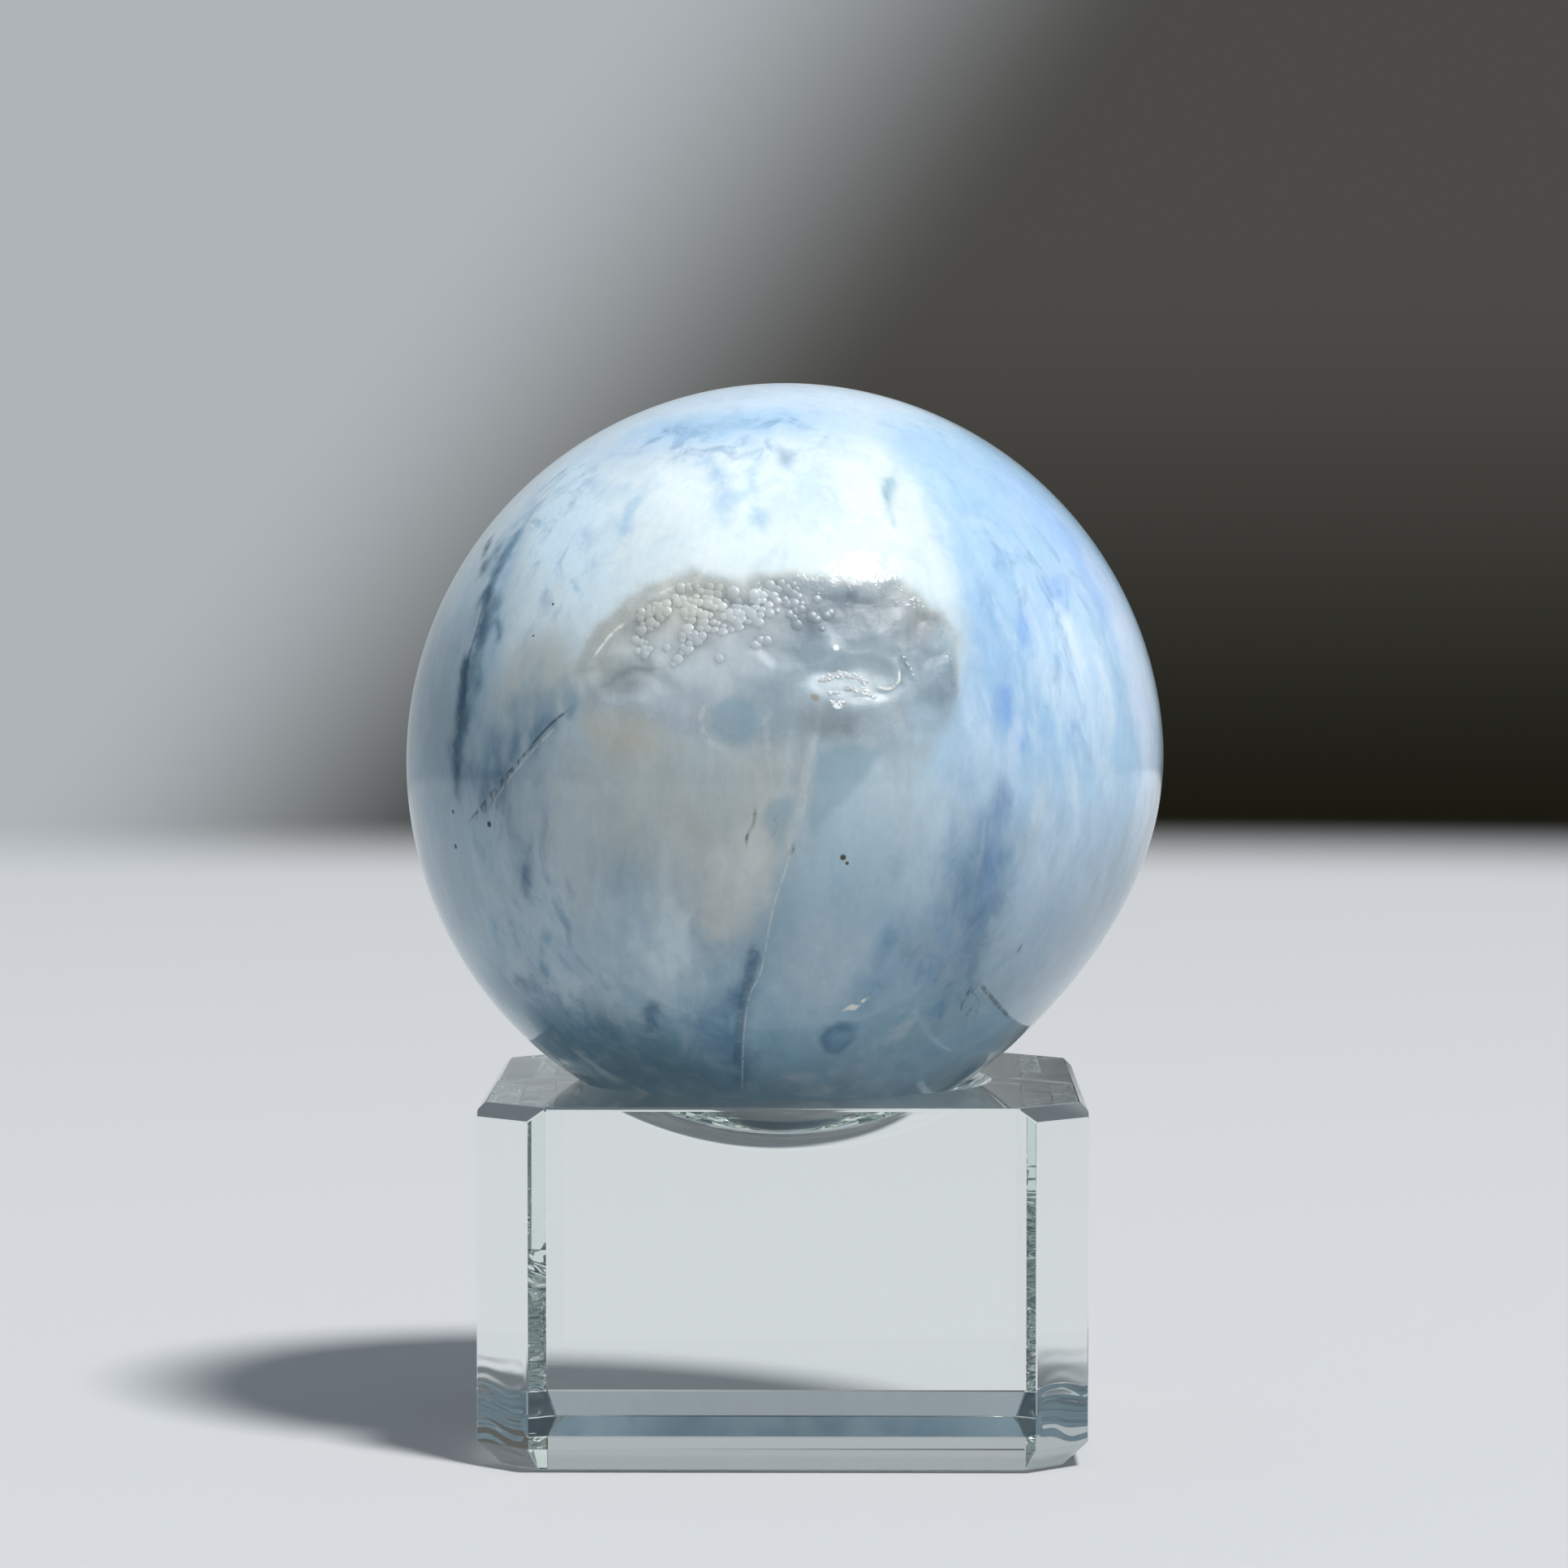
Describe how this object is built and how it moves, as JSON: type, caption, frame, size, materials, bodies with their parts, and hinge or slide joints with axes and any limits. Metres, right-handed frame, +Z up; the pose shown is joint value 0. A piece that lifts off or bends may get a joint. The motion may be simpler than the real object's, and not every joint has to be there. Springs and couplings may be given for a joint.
{
  "type": "blue opal sphere on a glass block stand",
  "caption": "Polished blue opal ball with a rough recess in its front, resting in the dimple of a clear glass block with cut corners.",
  "frame": {"origin": "on the ground under the middle of the glass block, which is also the middle of the whole object's outline", "axes": "+Z up from the block through the stone; -Y towards the viewer of the picture, the side with the stone's rough recess; +X to the viewer's right"},
  "size_m": [0.04, 0.04, 0.0554],
  "materials": {
    "blue_opal": "polished",
    "clear_glass": "polished"
  },
  "bodies": {
    "root": {"opal_sphere": "blue_opal", "glass_stand": "clear_glass"}
  },
  "joints": []
}
